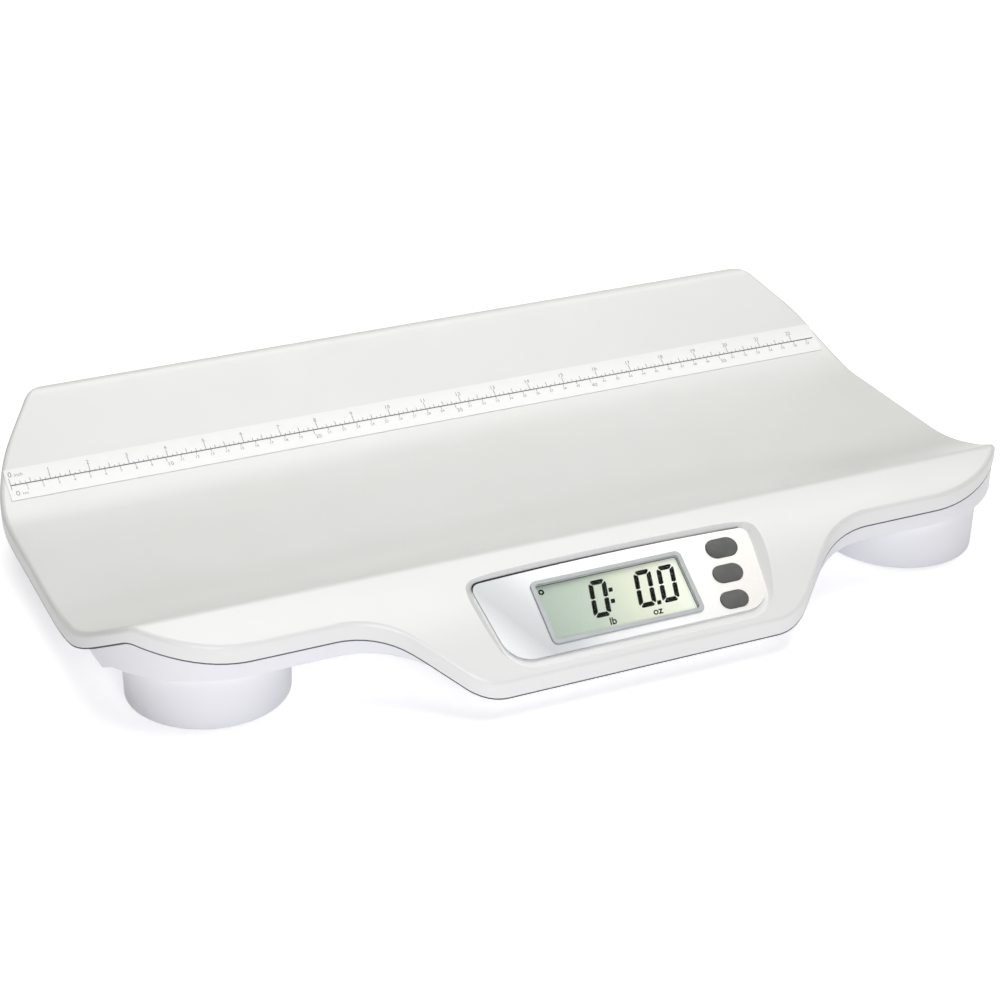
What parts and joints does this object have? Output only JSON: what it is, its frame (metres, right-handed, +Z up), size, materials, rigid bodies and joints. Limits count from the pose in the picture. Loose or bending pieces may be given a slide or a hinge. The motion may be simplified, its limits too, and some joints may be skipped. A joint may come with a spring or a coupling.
{
  "type": "baby scale",
  "caption": "Low electronic scale with a long curved tray, a high back wall with a printed length strip, a sloping display panel with push buttons, and round feet in drafted sleeves.",
  "frame": {"origin": "on the floor, under the middle of the tray", "axes": "+X along the tray's length, +Y towards the high back wall, +Z up"},
  "size_m": [0.598, 0.3586, 0.0837],
  "materials": {
    "tray_plastic": "satin moulded white",
    "base_plastic": "satin moulded white",
    "strip_film": "printed film",
    "silver_panel": "silver, fine satin",
    "bezel_plastic": "grey moulded",
    "clear_pane": "clear",
    "liquid_crystal": "grey-green reflective",
    "white_moulding": "moulded",
    "circuit_board": "solder mask",
    "switch_plastic": "moulded",
    "plated_steel": "zinc plated",
    "key_rubber": "matt",
    "cell_wrap": "shrink sleeve",
    "lead_cover": "grey cover",
    "cell_aluminium": "machined",
    "cup_plastic": "moulded",
    "foot_rubber": "matt"
  },
  "bodies": {
    "scale": {"base_shell": "base_plastic", "battery_cells": "cell_wrap", "battery_contacts": "plated_steel", "battery_lead_minus": "lead_cover", "battery_lead_plus": "lead_cover", "board_screws": "plated_steel", "buzzer": "switch_plastic", "case_screws": "plated_steel", "cell_screws_left_back": "plated_steel", "cell_screws_left_front": "plated_steel", "cell_screws_right_back": "plated_steel", "cell_screws_right_front": "plated_steel", "display_window": "clear_pane", "faceplate": "silver_panel", "foot_cup_left_back": "cup_plastic", "foot_cup_left_front": "cup_plastic", "foot_cup_right_back": "cup_plastic", "foot_cup_right_front": "cup_plastic", "key_switches": "switch_plastic", "lcd_bezel": "bezel_plastic", "lcd_holder": "white_moulding", "lcd_panel": "liquid_crystal", "lead_connector": "white_moulding", "load_cell_leads": "lead_cover", "load_cell_left_back": "cell_aluminium", "load_cell_left_front": "cell_aluminium", "load_cell_right_back": "cell_aluminium", "load_cell_right_front": "cell_aluminium", "main_board": "circuit_board", "rubber_foot_left_back": "foot_rubber", "rubber_foot_left_front": "foot_rubber", "rubber_foot_right_back": "foot_rubber", "rubber_foot_right_front": "foot_rubber", "ruler_strip": "strip_film", "tray_shell": "tray_plastic"},
    "button_1": {"button_1": "key_rubber"},
    "button_2": {"button_2": "key_rubber"},
    "button_3": {"button_3": "key_rubber"},
    "battery_door": {"battery_door": "base_plastic"}
  },
  "joints": [
    {"name": "button_1_press", "type": "slide", "parent": "scale", "child": "button_1", "axis": [0, 0.5299, -0.848], "range_m": [0, 0.0008], "stiffness_N_per_m": 600, "springref_m": -0.0012},
    {"name": "button_2_press", "type": "slide", "parent": "scale", "child": "button_2", "axis": [0, 0.5299, -0.848], "range_m": [0, 0.0008], "stiffness_N_per_m": 600, "springref_m": -0.0012},
    {"name": "button_3_press", "type": "slide", "parent": "scale", "child": "button_3", "axis": [0, 0.5299, -0.848], "range_m": [0, 0.0008], "stiffness_N_per_m": 600, "springref_m": -0.0012},
    {"name": "battery_door_hinge", "type": "hinge", "parent": "scale", "child": "battery_door", "pos_m": [0, -0.0227, 0.0124], "axis": [1, 0, 0], "range_deg": [0, 80]}
  ]
}
